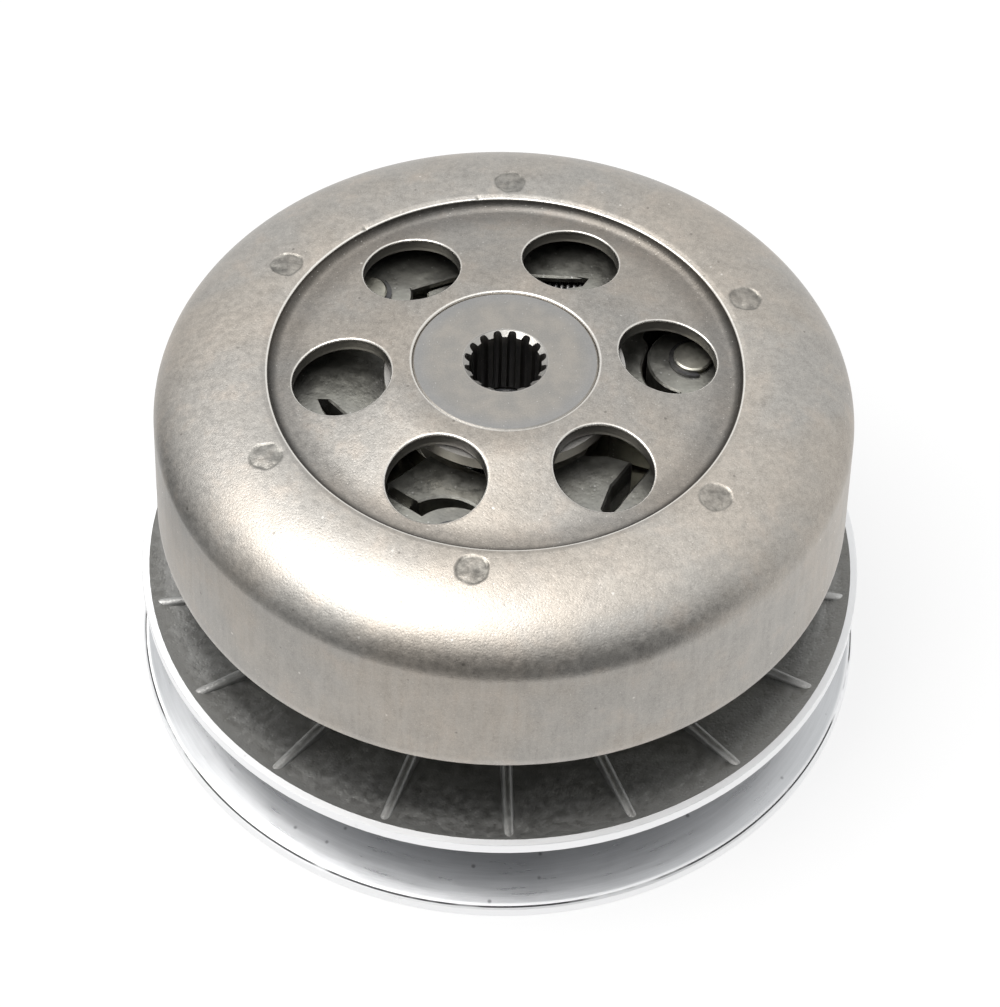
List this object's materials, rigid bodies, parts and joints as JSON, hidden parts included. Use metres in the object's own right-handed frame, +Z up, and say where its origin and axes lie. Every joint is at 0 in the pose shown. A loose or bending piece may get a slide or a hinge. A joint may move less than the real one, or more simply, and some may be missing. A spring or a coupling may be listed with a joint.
{
  "type": "centrifugal clutch",
  "caption": "Centrifugal clutch with a steel bell, sprung shoes on a carrier and a variable belt pulley of two ribbed sheaves around a bearing tube.",
  "frame": {"origin": "centre of the rim face of the fixed sheave, on which the clutch stands", "axes": "+Z up along the shaft from the pulley to the bell; +X to the right in the picture's view, +Y away from the camera"},
  "size_m": [0.153, 0.153, 0.0828],
  "materials": {
    "blasted_steel": "blasted and tumbled, satin",
    "turned_steel": "fine turned",
    "cast_aluminium": "cast, machined belt faces and rims",
    "ground_steel": "ground",
    "bearing_steel": "polished",
    "cage_steel": "pressed sheet",
    "spring_steel": "dark oiled wire",
    "zinc_steel": "zinc plated",
    "black_rubber": "matte",
    "shoe_casting": "die cast, blasted",
    "friction_lining": "moulded friction material"
  },
  "bodies": {
    "pulley": {"fixed_sheave": "cast_aluminium", "sheave_tube": "ground_steel", "cam_guide_pins": "ground_steel", "ball_bearing_outer_ring": "bearing_steel", "bearing_circlip": "spring_steel", "needle_bearing_cup": "bearing_steel", "clutch_carrier": "zinc_steel", "carrier_lock_nut": "zinc_steel", "upper_spring_seat": "zinc_steel", "main_spring": "spring_steel", "shoe_pivot_pins": "zinc_steel", "pivot_pin_clips": "spring_steel", "damper_posts": "zinc_steel", "damper_rubbers": "black_rubber"},
    "bell": {"clutch_bell": "blasted_steel", "splined_hub": "turned_steel"},
    "spring_seat": {"lower_spring_seat": "zinc_steel"},
    "sheave": {"moving_sheave": "cast_aluminium", "sheave_sleeve": "ground_steel", "seal_collar": "ground_steel", "sleeve_o_ring": "black_rubber", "sleeve_oil_seals": "black_rubber"},
    "shoe_1": {"clutch_shoe_1": "shoe_casting", "shoe_lining_1": "friction_lining", "return_spring_1": "spring_steel"},
    "shoe_2": {"clutch_shoe_2": "shoe_casting", "shoe_lining_2": "friction_lining", "return_spring_2": "spring_steel"},
    "shoe_3": {"clutch_shoe_3": "shoe_casting", "shoe_lining_3": "friction_lining", "return_spring_3": "spring_steel"},
    "bearing_inner": {"ball_bearing_inner_ring": "bearing_steel"},
    "bearing_cage": {"ball_bearing_balls": "bearing_steel", "ball_bearing_cage": "cage_steel"},
    "needle_cage": {"needle_rollers": "bearing_steel", "needle_cage": "cage_steel"}
  },
  "joints": [
    {"name": "bell_spin", "type": "hinge", "parent": "pulley", "child": "bell", "pos_m": [0, 0, 0.07], "axis": [0, 0, 1], "continuous": true},
    {"name": "sheave_slide", "type": "slide", "parent": "pulley", "child": "spring_seat", "axis": [0, 0, 1], "range_m": [0, 0.012], "stiffness_N_per_m": 9000, "springref_m": -0.02, "deforming": ["main_spring"]},
    {"name": "sheave_cam_turn", "type": "hinge", "parent": "spring_seat", "child": "sheave", "pos_m": [0, 0, 0.02], "axis": [0, 0, 1], "range_deg": [0, 40.01]},
    {"name": "bearing_spin", "type": "hinge", "parent": "pulley", "child": "bearing_inner", "pos_m": [0, 0, 0.0065], "axis": [0, 0, 1], "continuous": true},
    {"name": "bearing_cage_spin", "type": "hinge", "parent": "pulley", "child": "bearing_cage", "pos_m": [0, 0, 0.0065], "axis": [0, 0, 1], "continuous": true},
    {"name": "needle_cage_spin", "type": "hinge", "parent": "pulley", "child": "needle_cage", "pos_m": [0, 0, 0.058], "axis": [0, 0, 1], "continuous": true},
    {"name": "shoe_1_swing", "type": "hinge", "parent": "pulley", "child": "shoe_1", "pos_m": [0.03787, 0.01122, 0.062], "axis": [0, 0, 1], "range_deg": [0, 2.2], "stiffness_Nm_per_rad": 25, "springref_deg": -6.88, "deforming": ["return_spring_1"]},
    {"name": "shoe_2_swing", "type": "hinge", "parent": "pulley", "child": "shoe_2", "pos_m": [-0.02865, 0.02719, 0.062], "axis": [0, 0, 1], "range_deg": [0, 2.2], "stiffness_Nm_per_rad": 25, "springref_deg": -6.88, "deforming": ["return_spring_2"]},
    {"name": "shoe_3_swing", "type": "hinge", "parent": "pulley", "child": "shoe_3", "pos_m": [-0.00922, -0.03841, 0.062], "axis": [0, 0, 1], "range_deg": [0, 2.2], "stiffness_Nm_per_rad": 25, "springref_deg": -6.88, "deforming": ["return_spring_3"]}
  ],
  "couplings": [
    {"joint": "sheave_cam_turn", "follows": "sheave_slide", "rad_per_m": 58.178},
    {"joint": "bearing_cage_spin", "follows": "bearing_spin", "ratio": 0.4}
  ]
}
